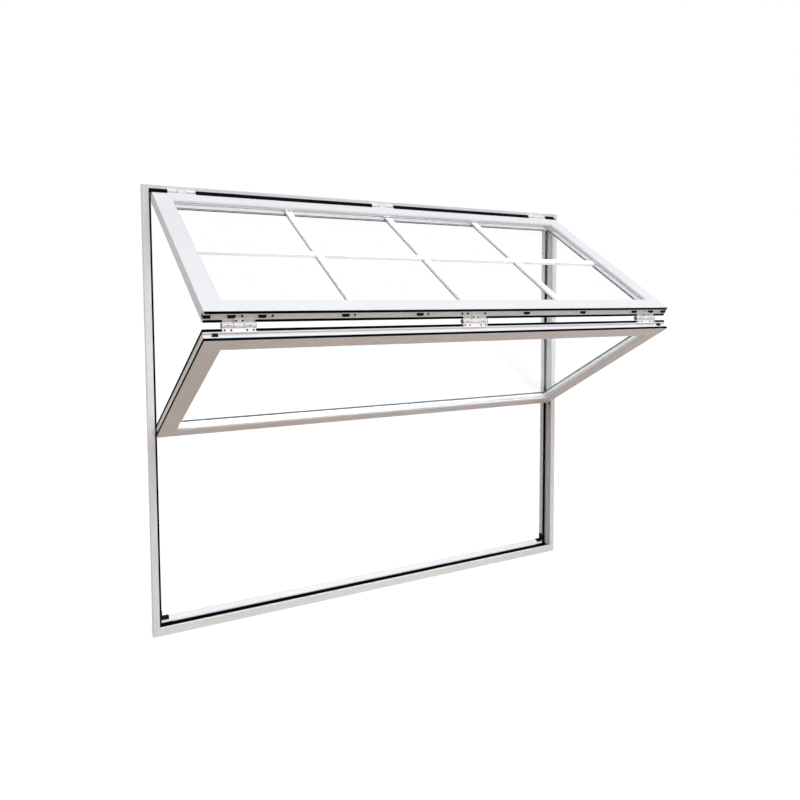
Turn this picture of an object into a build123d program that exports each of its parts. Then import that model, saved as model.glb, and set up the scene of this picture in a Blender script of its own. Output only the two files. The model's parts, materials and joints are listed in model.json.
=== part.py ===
"""A bifold window: two glazed sashes hinged together, folding up and out of one frame.

Frame: +X right and +Z up as seen from outside, +Y towards the room. The origin is the middle
of the sill's underside. Every sash piece is laid out in the closed window and placed by its
sash's pose, so the opening angle is one of the driving dimensions.
"""

import os
from math import acos, atan2, cos, degrees, hypot, radians, sin

from build123d import *

# Outer frame
FRAME_WIDTH = 2100.0
FRAME_HEIGHT = 1800.0
FRAME_DEPTH = 70.0
WALL = 2.0
HEAD_LIP = 13.0
JAMB_LIP = 25.0
JAMB_FLANGE_DEPTH = 28.0
STOP_DEPTH = 45.0
STOP_PROJECTION = 15.0
SILL_FLOOR = 20.0
SILL_LIP = 33.0
SILL_LIP_THICKNESS = 12.0
UPSTAND_SLOPE_START = 38.0
UPSTAND_TOP = 54.0
UPSTAND_SLOPE_RUN = 12.0

# Guide tracks in the jambs, and what slides in them
TRACK_WIDTH = 13.0
TRACK_DEPTH = 14.0
TRACK_LINER = 1.5
TRACK_END_GAP = 2.0
SHOE_LENGTH = 75.0
SHOE_PROUD = 1.0
SHOE_CLEARANCE = 0.25
PIVOT_DIAMETER = 8.0
PIVOT_RISE = 13.0
PIVOT_REACH = 24.0
PIVOT_SEAT = 8.0
PIVOT_CLEARANCE = 0.1

# Gaps round the sashes in the closed window
TOP_GAP = 15.0
SIDE_GAP = 8.0
FOLD_GAP = 6.0
SILL_GAP = 5.0

# Sash section
SASH_DEPTH = 42.0
SASH_PROUD = 6.0
SASH_FACE = 70.0
SASH_BEVEL = 5.0
GLAZING_FLANGE = 14.0
REBATE_FLOOR = 54.0
EDGE_GROOVE_WIDTH = 14.0
EDGE_GROOVE_DEPTH = 6.0

# Seals in the sash edges
SEAL_FLANGE = 1.0
SEAL_WIDTH = 9.0
SEAL_SEAT = 4.0
SEAL_PROUD = 1.5
SEAL_CLEARANCE = 0.2

# Double glazing
GLASS_EDGE_GAP = 2.0
PANE_THICKNESS = 5.0
CAVITY = 14.0
SPACER_INSET = 2.0
SPACER_WIDTH = 10.0
BEAD_BEVEL = 3.0

# Hinges
HINGE_LENGTH = 108.0
HINGE_INSET = 148.0
HINGE_PIN_DIAMETER = 6.0
HINGE_PIN_CLEARANCE = 0.1
HINGE_PIN_HEAD = 2.0
TOP_KNUCKLE_DIAMETER = 12.0
FOLD_KNUCKLE_DIAMETER = 18.0
KNUCKLE_GAP = 2.0
LEAF_THICKNESS = 3.0
TOP_LEAF_WIDTH = 26.0
TOP_AXIS_PROUD = 2.0
TOP_LEAF_SETBACK = 2.0
FOLD_AXIS_BEHIND = 9.5
UPPER_FOLD_LEAF_WIDTH = 17.0
LOWER_FOLD_LEAF_WIDTH = 14.0
SCREW_HOLE_DIAMETER = 4.5
SCREW_SPACING = 21.0

# Slots and holes in the fold edges
UPPER_SLOT_LENGTH = 27.0
LOWER_SLOT_LENGTH = 20.0
SLOT_WIDTH = 13.0
UPPER_SLOT_INSETS = [90.0, 190.0, 482.5, 775.0]
LOWER_SLOT_INSETS = [38.0]
PILOT_DIAMETER = 5.0
PILOT_OFFSET = 34.0

# Seals and gaskets of the frame
HEAD_SEAL_SETBACK = 1.0
HEAD_SEAL_WIDTH = 12.0
HEAD_SEAL_DROP = 13.4
HEAD_SEAL_HINGE_GAP = 2.0
SILL_SEAL_HEIGHT = 11.0
SILL_SEAL_GAP = 1.0
GASKET_THICKNESS = 7.0
GASKET_WIDTH = 10.0
GASKET_END_GAP = 2.0
CORNER_LEG = 62.0
CORNER_WIDTH = 16.0
CORNER_THICKNESS = 3.5

# Fixing holes in the jambs
FIXING_DIAMETER = 8.0
FIXING_SPACINGS = [1400.0, 500.0]

# How far the upper sash stands open, from the closed window
OPENING_ANGLE = 57.8

# Levels that follow from the sizes above
FRONT = -FRAME_DEPTH / 2
HALF_WIDTH = FRAME_WIDTH / 2
STOP_LINE = JAMB_LIP + STOP_PROJECTION
JAMB_FACE = HALF_WIDTH - JAMB_LIP
HEAD_UNDERSIDE = FRAME_HEIGHT - HEAD_LIP
STOP_FACE = FRONT + STOP_DEPTH
SASH_FRONT = FRONT - SASH_PROUD
SASH_BACK = SASH_FRONT + SASH_DEPTH
SASH_WIDTH = 2 * (JAMB_FACE - SIDE_GAP)
SASH_TOP = HEAD_UNDERSIDE - TOP_GAP
SASH_HEIGHT = (SASH_TOP - SILL_LIP - SILL_GAP - FOLD_GAP) / 2
UPPER_BOTTOM = SASH_TOP - SASH_HEIGHT
LOWER_TOP = UPPER_BOTTOM - FOLD_GAP
LOWER_BOTTOM = LOWER_TOP - SASH_HEIGHT
GROOVE_CENTRE = SASH_FRONT + SASH_DEPTH / 2
GLASS_INSET = REBATE_FLOOR + GLASS_EDGE_GAP
GLASS_FRONT = SASH_FRONT + GLAZING_FLANGE
GLASS_BACK = GLASS_FRONT + 2 * PANE_THICKNESS + CAVITY
TRACK_FLOOR = JAMB_LIP - TRACK_DEPTH
JAMB_SETBACK = TRACK_FLOOR - WALL
TRACK_START = GROOVE_CENTRE - FRONT - TRACK_WIDTH / 2
TRACK_END = TRACK_START + TRACK_WIDTH
KNUCKLE_LENGTH = HINGE_LENGTH / 3
HINGE_OFFSET = HALF_WIDTH - HINGE_INSET
HINGE_CENTRES = {"left": -HINGE_OFFSET, "centre": 0.0, "right": HINGE_OFFSET}

# Hinge axes of the closed window: the top hinges, the fold, and the pivots in the tracks
TOP_AXIS = Vector(0, SASH_FRONT - TOP_AXIS_PROUD, (HEAD_UNDERSIDE + SASH_TOP) / 2)
FOLD_AXIS = Vector(0, SASH_BACK + FOLD_AXIS_BEHIND, (UPPER_BOTTOM + LOWER_TOP) / 2)
PIVOT_AXIS = Vector(0, GROOVE_CENTRE, LOWER_BOTTOM + PIVOT_RISE)

# Poses of the open sashes: the fold swings about the top hinges, and the pivots stay in the tracks
swing = radians(OPENING_ANGLE)
fold_arm = FOLD_AXIS - TOP_AXIS
open_fold = TOP_AXIS + Vector(
    0,
    fold_arm.Y * cos(swing) + fold_arm.Z * sin(swing),
    fold_arm.Z * cos(swing) - fold_arm.Y * sin(swing),
)
pivot_arm = PIVOT_AXIS - FOLD_AXIS
pivot_reach = hypot(pivot_arm.Y, pivot_arm.Z)
pivot_slope = atan2(pivot_arm.Z, pivot_arm.Y)
fold_back = -pivot_slope - acos((PIVOT_AXIS.Y - open_fold.Y) / pivot_reach)
open_pivot = open_fold + Vector(
    0,
    pivot_reach * cos(pivot_slope + fold_back),
    pivot_reach * sin(pivot_slope + fold_back),
)
upper_pose = Pos(*TOP_AXIS) * Rot(X=-OPENING_ANGLE) * Pos(*-TOP_AXIS)
lower_pose = Pos(*open_fold) * Rot(X=degrees(fold_back)) * Pos(*-FOLD_AXIS)
frame_pose = Location()

LEFTWARDS = (-1, 0, 0)
RIGHTWARDS = (1, 0, 0)
INWARDS = (0, 1, 0)
UPWARDS = (0, 0, 1)
DOWNWARDS = (0, 0, -1)


def placed(pose, plane):
    """A plane of the closed window, carried along to the pose of its sash."""
    return Plane(pose * plane.location)


def hollow_section(cells):
    """Join rectangular cells, given as (u, v, width, depth), and hollow each to the wall."""
    with BuildSketch() as section:
        for u, v, width, depth in cells:
            with Locations((u, v)):
                Rectangle(width, depth, align=(Align.MIN, Align.MIN))
        for u, v, width, depth in cells:
            with Locations((u + WALL, v + WALL)):
                Rectangle(
                    width - 2 * WALL,
                    depth - 2 * WALL,
                    align=(Align.MIN, Align.MIN),
                    mode=Mode.SUBTRACT,
                )
    return section.sketch


def upstand_section():
    """Section of the sill's inner upstand, with a sloped front and a hollow core."""
    with BuildSketch() as section:
        with BuildLine():
            Polyline(
                (0, STOP_DEPTH),
                (UPSTAND_SLOPE_START, STOP_DEPTH),
                (UPSTAND_TOP, STOP_DEPTH + UPSTAND_SLOPE_RUN),
                (UPSTAND_TOP, FRAME_DEPTH),
                (0, FRAME_DEPTH),
                close=True,
            )
        make_face()
        offset(amount=-WALL, kind=Kind.INTERSECTION, mode=Mode.SUBTRACT)
    return section.sketch


def jamb(side, inward, along, start):
    """A full-height jamb: front flange and lip, guide track, land and stop, drilled for its fixings."""
    cells = [
        (0, 0, TRACK_FLOOR, JAMB_FLANGE_DEPTH),
        (JAMB_SETBACK, 0, TRACK_DEPTH + WALL, TRACK_START),
        (JAMB_SETBACK, TRACK_END, TRACK_DEPTH + WALL, STOP_DEPTH + WALL - TRACK_END),
        (JAMB_SETBACK, STOP_DEPTH, STOP_LINE - JAMB_SETBACK, FRAME_DEPTH - STOP_DEPTH),
    ]
    fixing_depth = (STOP_DEPTH + FRAME_DEPTH) / 2
    fixing_plane = Plane((side * HALF_WIDTH, FRONT + fixing_depth, FRAME_HEIGHT / 2), INWARDS, inward)
    with BuildPart() as bar:
        with BuildSketch(Plane((side * HALF_WIDTH, FRONT, start), inward, along)):
            add(hollow_section(cells))
        extrude(amount=FRAME_HEIGHT)
        with BuildSketch(fixing_plane):
            for spacing in FIXING_SPACINGS:
                with GridLocations(0, spacing, 1, 2):
                    Circle(FIXING_DIAMETER / 2)
        extrude(amount=STOP_LINE, mode=Mode.SUBTRACT)
    return bar.part


def sash_section(sealed):
    """Section of a sash bar: from the outer edge inwards, and from the outside back."""
    with BuildSketch() as section:
        with BuildLine():
            Polyline(
                (0, 0),
                (SASH_FACE - SASH_BEVEL, 0),
                (SASH_FACE, SASH_BEVEL),
                (SASH_FACE, GLAZING_FLANGE),
                (REBATE_FLOOR, GLAZING_FLANGE),
                (REBATE_FLOOR, SASH_DEPTH),
                (0, SASH_DEPTH),
                close=True,
            )
        make_face()
        # Two chambers, one behind the face and one behind the edge groove
        with Locations((SEAL_SEAT + WALL, WALL)):
            Rectangle(
                SASH_FACE - SASH_BEVEL - SEAL_SEAT - 2 * WALL,
                GLAZING_FLANGE - 2 * WALL,
                align=(Align.MIN, Align.MIN),
                mode=Mode.SUBTRACT,
            )
        with Locations((EDGE_GROOVE_DEPTH + WALL, GLAZING_FLANGE)):
            Rectangle(
                REBATE_FLOOR - EDGE_GROOVE_DEPTH - 2 * WALL,
                SASH_DEPTH - GLAZING_FLANGE - WALL,
                align=(Align.MIN, Align.MIN),
                mode=Mode.SUBTRACT,
            )
        # A sealed edge has a groove down its middle, and a seal groove at each side of it
        if sealed:
            with Locations((0, SASH_DEPTH / 2)):
                Rectangle(2 * EDGE_GROOVE_DEPTH, EDGE_GROOVE_WIDTH, mode=Mode.SUBTRACT)
            seal_centre = SEAL_FLANGE + SEAL_WIDTH / 2
            with Locations((0, seal_centre), (0, SASH_DEPTH - seal_centre)):
                Rectangle(2 * SEAL_SEAT, SEAL_WIDTH, mode=Mode.SUBTRACT)
    return section.sketch


def sash_bar(pose, edge, inward, along, length, sealed):
    """A sash bar about the middle of its outer edge, mitred at both ends."""
    edge = Vector(edge)
    inward = Vector(inward)
    along = Vector(along)
    with BuildPart() as bar:
        with BuildSketch(placed(pose, Plane(edge, inward, along))):
            add(sash_section(sealed))
        extrude(amount=length / 2, both=True)
        for end in (along, -along):
            corner = edge + end * (length / 2)
            split(bisect_by=placed(pose, Plane(corner, INWARDS, inward + end)), keep=Keep.BOTTOM)
    return bar.part


def sash_layer(depth, centre):
    """A plane facing the room at one depth of a closed sash."""
    return Plane((0, depth, centre), RIGHTWARDS, INWARDS)


def glass_pane(pose, depth, centre):
    """One pane of a sash's double glazing."""
    with BuildPart() as pane:
        with BuildSketch(placed(pose, sash_layer(depth, centre))):
            Rectangle(SASH_WIDTH - 2 * GLASS_INSET, SASH_HEIGHT - 2 * GLASS_INSET)
        extrude(amount=PANE_THICKNESS)
    return pane.part


def glass_spacer(pose, centre):
    """The spacer ring between the two panes of a sash."""
    outer = GLASS_INSET + SPACER_INSET
    inner = outer + SPACER_WIDTH
    with BuildPart() as spacer:
        with BuildSketch(placed(pose, sash_layer(GLASS_FRONT + PANE_THICKNESS, centre))):
            Rectangle(SASH_WIDTH - 2 * outer, SASH_HEIGHT - 2 * outer)
            Rectangle(SASH_WIDTH - 2 * inner, SASH_HEIGHT - 2 * inner, mode=Mode.SUBTRACT)
        extrude(amount=CAVITY)
    return spacer.part


def glazing_bead(pose, centre):
    """The bead ring that holds the glazing from the room side, bevelled towards the glass."""
    with BuildPart() as bead:
        with BuildSketch(placed(pose, sash_layer(GLASS_BACK, centre))):
            Rectangle(SASH_WIDTH - 2 * REBATE_FLOOR, SASH_HEIGHT - 2 * REBATE_FLOOR)
            Rectangle(SASH_WIDTH - 2 * SASH_FACE, SASH_HEIGHT - 2 * SASH_FACE, mode=Mode.SUBTRACT)
        extrude(amount=SASH_BACK - GLASS_BACK)
        roomwards = placed(pose, sash_layer(GLASS_BACK, centre)).z_dir
        room_face = bead.faces().sort_by(Axis((0, 0, 0), roomwards))[-1]
        chamfer(room_face.inner_wires()[0].edges(), length=BEAD_BEVEL)
    return bead.part


def sash_seals(pose, centre, sealed_stiles, cuts):
    """The outer and inner seals in a sash's edge, all round or on the rails, cut where hinges cross."""
    width = SASH_WIDTH + 2 * SEAL_PROUD if sealed_stiles else SASH_WIDTH - 2 * SEAL_SEAT
    height = SASH_HEIGHT + 2 * SEAL_PROUD
    wall = SEAL_SEAT + SEAL_PROUD - SEAL_CLEARANCE
    inner_width = width - 2 * wall if sealed_stiles else width
    with BuildPart() as seals:
        for flange in (SASH_FRONT + SEAL_FLANGE, SASH_BACK - SEAL_FLANGE - SEAL_WIDTH):
            with BuildSketch(placed(pose, sash_layer(flange + SEAL_CLEARANCE, centre))):
                Rectangle(width, height)
                Rectangle(inner_width, height - 2 * wall, mode=Mode.SUBTRACT)
            extrude(amount=SEAL_WIDTH - 2 * SEAL_CLEARANCE)
        for edge, outward, front, back in cuts:
            with BuildSketch(placed(pose, Plane((0, (front + back) / 2, edge), RIGHTWARDS, outward))):
                with Locations(*[(x, 0) for x in HINGE_CENTRES.values()]):
                    Rectangle(HINGE_LENGTH + 2 * SEAL_CLEARANCE, back - front)
            extrude(amount=SEAL_SEAT + SEAL_PROUD, both=True, mode=Mode.SUBTRACT)
    return seals.part


def hinge_leaf(pose, axis, knuckle_diameter, plate, arm, plate_span, screw_places, knuckle_spans):
    """A hinge leaf: a plate in a (y, z) box of the closed window, and bored knuckles on arms."""
    plate_front, plate_bottom, plate_back, plate_top = plate
    arm_front, arm_bottom, arm_back, arm_top = arm
    plate_start, plate_end = plate_span
    with BuildPart() as leaf:
        with BuildSketch(placed(pose, Plane.YZ.offset(plate_start))):
            with Locations((plate_front, plate_bottom)):
                Rectangle(
                    plate_back - plate_front,
                    plate_top - plate_bottom,
                    align=(Align.MIN, Align.MIN),
                )
        extrude(amount=plate_end - plate_start)
        for place in screw_places:
            screw_centre = (place, (plate_front + plate_back) / 2, plate_bottom)
            with BuildSketch(placed(pose, Plane(screw_centre, RIGHTWARDS, UPWARDS))):
                with GridLocations(SCREW_SPACING, 0, 2, 1):
                    Circle(SCREW_HOLE_DIAMETER / 2)
            extrude(amount=plate_top - plate_bottom, mode=Mode.SUBTRACT)
        for start, end in knuckle_spans:
            with BuildSketch(placed(pose, Plane.YZ.offset(start))):
                with Locations((axis.Y, axis.Z)):
                    Circle(knuckle_diameter / 2)
                with Locations((arm_front, arm_bottom)):
                    Rectangle(arm_back - arm_front, arm_top - arm_bottom, align=(Align.MIN, Align.MIN))
                with Locations((axis.Y, axis.Z)):
                    Circle(HINGE_PIN_DIAMETER / 2 + HINGE_PIN_CLEARANCE, mode=Mode.SUBTRACT)
            extrude(amount=end - start)
    return leaf.part


def hinge_pins(pose, axis, head_diameter):
    """The pins of one row of hinges, each with a low head at both ends."""
    with BuildPart() as pins:
        for centre in HINGE_CENTRES.values():
            start = centre - HINGE_LENGTH / 2
            with BuildSketch(placed(pose, Plane.YZ.offset(start))):
                with Locations((axis.Y, axis.Z)):
                    Circle(HINGE_PIN_DIAMETER / 2)
            extrude(amount=HINGE_LENGTH)
            for head in (start - HINGE_PIN_HEAD, start + HINGE_LENGTH):
                with BuildSketch(placed(pose, Plane.YZ.offset(head))):
                    with Locations((axis.Y, axis.Z)):
                        Circle(head_diameter / 2)
                extrude(amount=HINGE_PIN_HEAD)
    return pins.part


def save(piece, name):
    """Label a finished piece and write it under its name."""
    piece.label = name
    export_step(piece, f"parts/{name}.step")


os.makedirs("parts", exist_ok=True)

# Jambs, full height, with the head and sill between them
save(jamb(-1, RIGHTWARDS, UPWARDS, 0), "frame_left_jamb")
save(jamb(1, LEFTWARDS, DOWNWARDS, FRAME_HEIGHT), "frame_right_jamb")

stop_centre = JAMB_FACE - STOP_PROJECTION / 2
stop_middle = FRONT + (STOP_DEPTH + FRAME_DEPTH) / 2
stop_notch = (STOP_PROJECTION, FRAME_DEPTH - STOP_DEPTH, FRAME_HEIGHT)
notch_centres = [(side * stop_centre, stop_middle, FRAME_HEIGHT / 2) for side in (-1, 1)]
head_cells = [
    (0, 0, HEAD_LIP, STOP_DEPTH + WALL),
    (0, STOP_DEPTH, STOP_LINE, FRAME_DEPTH - STOP_DEPTH),
]
with BuildPart() as frame_head:
    with BuildSketch(Plane((-JAMB_FACE, FRONT, FRAME_HEIGHT), DOWNWARDS, RIGHTWARDS)):
        add(hollow_section(head_cells))
    extrude(amount=2 * JAMB_FACE)
    with Locations(*notch_centres):
        Box(*stop_notch, mode=Mode.SUBTRACT)
save(frame_head.part, "frame_head")

sill_cells = [
    (0, 0, SILL_FLOOR, STOP_DEPTH + WALL),
    (SILL_FLOOR - WALL, 0, SILL_LIP - SILL_FLOOR + WALL, SILL_LIP_THICKNESS),
]
with BuildPart() as frame_sill:
    with BuildSketch(Plane((JAMB_FACE, FRONT, 0), UPWARDS, LEFTWARDS)):
        add(hollow_section(sill_cells))
        add(upstand_section())
    extrude(amount=2 * JAMB_FACE)
    with Locations(*notch_centres):
        Box(*stop_notch, mode=Mode.SUBTRACT)
save(frame_sill.part, "frame_sill")

# Liner of each guide track
liner_length = HEAD_UNDERSIDE - SILL_LIP - 2 * TRACK_END_GAP
for name, side, inward, along, start in (
    ("left_track_liner", -1, RIGHTWARDS, UPWARDS, SILL_LIP + TRACK_END_GAP),
    ("right_track_liner", 1, LEFTWARDS, DOWNWARDS, HEAD_UNDERSIDE - TRACK_END_GAP),
):
    with BuildPart() as track_liner:
        with BuildSketch(Plane((side * HALF_WIDTH, FRONT, start), inward, along)):
            with Locations((TRACK_FLOOR, TRACK_START)):
                Rectangle(TRACK_DEPTH, TRACK_WIDTH, align=(Align.MIN, Align.MIN))
            with Locations((TRACK_FLOOR + TRACK_LINER, TRACK_START + TRACK_LINER)):
                Rectangle(
                    TRACK_DEPTH,
                    TRACK_WIDTH - 2 * TRACK_LINER,
                    align=(Align.MIN, Align.MIN),
                    mode=Mode.SUBTRACT,
                )
        extrude(amount=liner_length)
    save(track_liner.part, name)

# Guide shoes in the tracks, each bored for its pivot pin
shoe_width = TRACK_WIDTH - 2 * TRACK_LINER - 2 * SHOE_CLEARANCE
shoe_depth = TRACK_DEPTH - TRACK_LINER - SHOE_CLEARANCE - SHOE_PROUD
shoe_back = HALF_WIDTH - TRACK_FLOOR - TRACK_LINER - SHOE_CLEARANCE
pin_end = JAMB_FACE - SIDE_GAP - PIVOT_REACH
shoe_front = shoe_back - shoe_depth
pin_start = shoe_front + PIVOT_SEAT
for name, side, inward in (
    ("left_guide_shoe", -1, RIGHTWARDS),
    ("right_guide_shoe", 1, LEFTWARDS),
):
    with BuildPart() as guide_shoe:
        with BuildSketch(Plane((side * shoe_back, open_pivot.Y, open_pivot.Z), UPWARDS, inward)):
            SlotOverall(SHOE_LENGTH, shoe_width)
        extrude(amount=shoe_depth)
        with BuildSketch(Plane((side * pin_start, open_pivot.Y, open_pivot.Z), UPWARDS, inward)):
            Circle(PIVOT_DIAMETER / 2 + PIVOT_CLEARANCE)
        extrude(amount=PIVOT_SEAT, mode=Mode.SUBTRACT)
    save(guide_shoe.part, name)

with BuildPart() as guide_pins:
    for side, inward in ((-1, RIGHTWARDS), (1, LEFTWARDS)):
        with BuildSketch(Plane((side * pin_start, open_pivot.Y, open_pivot.Z), UPWARDS, inward)):
            Circle(PIVOT_DIAMETER / 2)
        extrude(amount=pin_start - pin_end)
save(guide_pins.part, "guide_pins")

# Black seal under the head, in lengths between the hinges
seal_ends = [-JAMB_FACE]
for centre in HINGE_CENTRES.values():
    half = HINGE_LENGTH / 2 + HINGE_PIN_HEAD + HEAD_SEAL_HINGE_GAP
    seal_ends += [centre - half, centre + half]
seal_ends.append(JAMB_FACE)
with BuildPart() as head_seal:
    for start, end in zip(seal_ends[::2], seal_ends[1::2]):
        with BuildSketch(Plane.YZ.offset(start)):
            with Locations((FRONT + HEAD_SEAL_SETBACK, HEAD_UNDERSIDE)):
                Rectangle(HEAD_SEAL_WIDTH, HEAD_SEAL_DROP, align=(Align.MIN, Align.MAX))
        extrude(amount=end - start)
save(head_seal.part, "head_seal")

# Black seal in the sill's channel, and the gaskets on the stops
sill_seal_width = STOP_DEPTH - SILL_LIP_THICKNESS - CORNER_THICKNESS - 2 * SILL_SEAL_GAP
with BuildPart() as sill_seal:
    with BuildSketch(Plane.YZ.offset(-JAMB_FACE)):
        with Locations((FRONT + SILL_LIP_THICKNESS + SILL_SEAL_GAP, SILL_FLOOR)):
            Rectangle(sill_seal_width, SILL_SEAL_HEIGHT, align=(Align.MIN, Align.MIN))
    extrude(amount=2 * JAMB_FACE)
save(sill_seal.part, "sill_seal")

gasket_top = FRAME_HEIGHT - STOP_LINE
gasket_bottom = SILL_FLOOR + CORNER_LEG + GASKET_END_GAP
gasket_line = HALF_WIDTH - STOP_LINE + GASKET_WIDTH / 2
head_gasket_height = gasket_top + GASKET_WIDTH / 2
with BuildPart() as stop_gaskets:
    with BuildSketch(Plane((0, STOP_FACE, 0), RIGHTWARDS, (0, -1, 0))):
        side_height = gasket_top - GASKET_END_GAP - gasket_bottom
        side_middle = gasket_bottom + side_height / 2
        with Locations((-gasket_line, side_middle), (gasket_line, side_middle)):
            Rectangle(GASKET_WIDTH, side_height)
        with Locations((0, head_gasket_height)):
            Rectangle(2 * (HALF_WIDTH - STOP_LINE), GASKET_WIDTH)
    extrude(amount=GASKET_THICKNESS)
save(stop_gaskets.part, "stop_gaskets")

with BuildPart() as sill_corner_blocks:
    with BuildSketch(Plane((0, STOP_FACE, SILL_FLOOR), RIGHTWARDS, (0, -1, 0))):
        with Locations((-JAMB_FACE, 0)):
            Rectangle(STOP_PROJECTION, CORNER_LEG, align=(Align.MIN, Align.MIN))
            Rectangle(CORNER_LEG, CORNER_WIDTH, align=(Align.MIN, Align.MIN))
        mirror(about=Plane.YZ)
    extrude(amount=CORNER_THICKNESS)
save(sill_corner_blocks.part, "sill_corner_blocks")

# Slots along the fold edges, each set off from one end, and the pilot holes beside the upper ones
sash_end = SASH_WIDTH / 2
edge_slots = {
    ("upper", "bottom_rail"): [sash_end - inset for inset in UPPER_SLOT_INSETS],
    ("lower", "top_rail"): [sash_end - inset for inset in LOWER_SLOT_INSETS],
}
slot_lengths = {"upper": UPPER_SLOT_LENGTH, "lower": LOWER_SLOT_LENGTH}
edge_pilots = {
    ("upper", "bottom_rail"): [sash_end - inset - PILOT_OFFSET for inset in UPPER_SLOT_INSETS],
    ("lower", "top_rail"): [],
}

# Sash bars of both sashes
for sash, pose, top, bottom in (
    ("upper", upper_pose, SASH_TOP, UPPER_BOTTOM),
    ("lower", lower_pose, LOWER_TOP, LOWER_BOTTOM),
):
    middle = (top + bottom) / 2
    rails = {
        "top_rail": ((0, SASH_FRONT, top), DOWNWARDS, RIGHTWARDS),
        "bottom_rail": ((0, SASH_FRONT, bottom), UPWARDS, LEFTWARDS),
    }
    for name, (edge, inward, along) in rails.items():
        with BuildPart() as rail:
            add(sash_bar(pose, edge, inward, along, SASH_WIDTH, True))
            if (sash, name) in edge_slots:
                groove_line = Plane((0, GROOVE_CENTRE, edge[2]), RIGHTWARDS, inward)
                with BuildSketch(placed(pose, groove_line)):
                    for x in edge_slots[sash, name]:
                        with Locations((-x, 0), (x, 0)):
                            SlotOverall(slot_lengths[sash], SLOT_WIDTH)
                    for x in edge_pilots[sash, name]:
                        with Locations((-x, 0), (x, 0)):
                            Circle(PILOT_DIAMETER / 2)
                extrude(amount=EDGE_GROOVE_DEPTH + 2 * WALL, mode=Mode.SUBTRACT)
        save(rail.part, f"{sash}_{name}")
    stiles = {
        "left_stile": ((-sash_end, SASH_FRONT, middle), RIGHTWARDS, UPWARDS),
        "right_stile": ((sash_end, SASH_FRONT, middle), LEFTWARDS, DOWNWARDS),
    }
    sealed_stiles = sash == "lower"
    for name, (edge, inward, along) in stiles.items():
        with BuildPart() as stile:
            add(sash_bar(pose, edge, inward, along, SASH_HEIGHT, sealed_stiles))
            if sash == "lower":
                pivot_bore = Plane((edge[0], PIVOT_AXIS.Y, PIVOT_AXIS.Z), INWARDS, inward)
                with BuildSketch(placed(pose, pivot_bore)):
                    Circle(PIVOT_DIAMETER / 2 + PIVOT_CLEARANCE)
                extrude(amount=PIVOT_REACH, mode=Mode.SUBTRACT)
        save(stile.part, f"{sash}_{name}")

    # Glazing and seals of this sash
    save(glass_pane(pose, GLASS_FRONT, middle), f"{sash}_outer_pane")
    save(glass_pane(pose, GLASS_BACK - PANE_THICKNESS, middle), f"{sash}_inner_pane")
    save(glass_spacer(pose, middle), f"{sash}_glass_spacer")
    save(glazing_bead(pose, middle), f"{sash}_glazing_bead")
    top_cut = (SASH_TOP, UPWARDS, SASH_FRONT, SASH_BACK)
    upper_fold_cut = (UPPER_BOTTOM, DOWNWARDS, GROOVE_CENTRE, SASH_BACK)
    lower_fold_cut = (LOWER_TOP, UPWARDS, GROOVE_CENTRE, SASH_BACK)
    cuts = [top_cut, upper_fold_cut] if sash == "upper" else [lower_fold_cut]
    save(sash_seals(pose, middle, sealed_stiles, cuts), f"{sash}_sash_seals")

# Hinges: the frame or lower leaf has the two outer knuckles, the other leaf the middle one
top_plate_front = FRONT + TOP_LEAF_SETBACK
top_plate_back = top_plate_front + TOP_LEAF_WIDTH
frame_plate = (top_plate_front, HEAD_UNDERSIDE - LEAF_THICKNESS, top_plate_back, HEAD_UNDERSIDE)
frame_arm = (TOP_AXIS.Y, TOP_AXIS.Z, top_plate_front + LEAF_THICKNESS, HEAD_UNDERSIDE)
sash_plate = (top_plate_front, SASH_TOP, top_plate_back, SASH_TOP + LEAF_THICKNESS)
sash_arm = (TOP_AXIS.Y, SASH_TOP, top_plate_front + LEAF_THICKNESS, TOP_AXIS.Z)
upper_plate_front = SASH_BACK - UPPER_FOLD_LEAF_WIDTH
lower_plate_front = SASH_BACK - LOWER_FOLD_LEAF_WIDTH
upper_plate = (upper_plate_front, UPPER_BOTTOM - LEAF_THICKNESS, SASH_BACK, UPPER_BOTTOM)
upper_arm = (SASH_BACK - LEAF_THICKNESS, UPPER_BOTTOM - LEAF_THICKNESS, FOLD_AXIS.Y, UPPER_BOTTOM)
lower_plate = (lower_plate_front, LOWER_TOP, SASH_BACK, LOWER_TOP + LEAF_THICKNESS)
lower_arm = (SASH_BACK - LEAF_THICKNESS, LOWER_TOP, FOLD_AXIS.Y, LOWER_TOP + LEAF_THICKNESS)
for place, centre in HINGE_CENTRES.items():
    whole = (centre - HINGE_LENGTH / 2, centre + HINGE_LENGTH / 2)
    inner = (centre - KNUCKLE_LENGTH / 2 + KNUCKLE_GAP, centre + KNUCKLE_LENGTH / 2 - KNUCKLE_GAP)
    ends = [centre - KNUCKLE_LENGTH, centre + KNUCKLE_LENGTH]
    outer = [
        (centre - HINGE_LENGTH / 2, centre - KNUCKLE_LENGTH / 2),
        (centre + KNUCKLE_LENGTH / 2, centre + HINGE_LENGTH / 2),
    ]
    leaves = {
        "top_hinge_frame_leaf": (frame_pose, TOP_AXIS, TOP_KNUCKLE_DIAMETER, frame_plate, frame_arm,
                                 whole, ends, outer),
        "top_hinge_sash_leaf": (upper_pose, TOP_AXIS, TOP_KNUCKLE_DIAMETER, sash_plate, sash_arm,
                                whole, ends, [inner]),
        "fold_hinge_upper_leaf": (upper_pose, FOLD_AXIS, FOLD_KNUCKLE_DIAMETER, upper_plate, upper_arm,
                                  inner, [centre], [inner]),
        "fold_hinge_lower_leaf": (lower_pose, FOLD_AXIS, FOLD_KNUCKLE_DIAMETER, lower_plate, lower_arm,
                                  whole, ends, outer),
    }
    for name, sizes in leaves.items():
        save(hinge_leaf(*sizes), f"{place}_{name}")
save(hinge_pins(frame_pose, TOP_AXIS, TOP_KNUCKLE_DIAMETER), "top_hinge_pins")
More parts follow.
